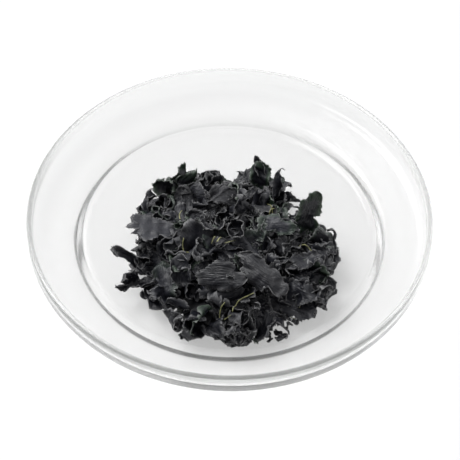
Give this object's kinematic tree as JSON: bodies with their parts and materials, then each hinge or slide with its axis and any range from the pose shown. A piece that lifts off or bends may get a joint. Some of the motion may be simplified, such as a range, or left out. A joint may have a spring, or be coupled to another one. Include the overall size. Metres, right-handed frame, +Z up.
{
  "type": "dried cut wakame in a glass dish",
  "caption": "Loose heap of crumpled, near-black dried wakame seaweed flakes lying in the well of a shallow round clear glass dish with a broad brim and upright rim.",
  "frame": {"origin": "middle of the dish's flat underside, on the surface that the dish stands on", "axes": "+Z up, out of the dish; -Y towards the side where the heap lies nearest the well wall, which faces the viewer; +X to that viewer's right"},
  "size_m": [0.13, 0.13, 0.0251],
  "materials": {
    "clear_glass": "polished, colourless",
    "dried_seaweed": "matte, wrinkled"
  },
  "bodies": {
    "root": {"glass_dish": "clear_glass", "wakame_heap": "dried_seaweed"}
  },
  "joints": []
}
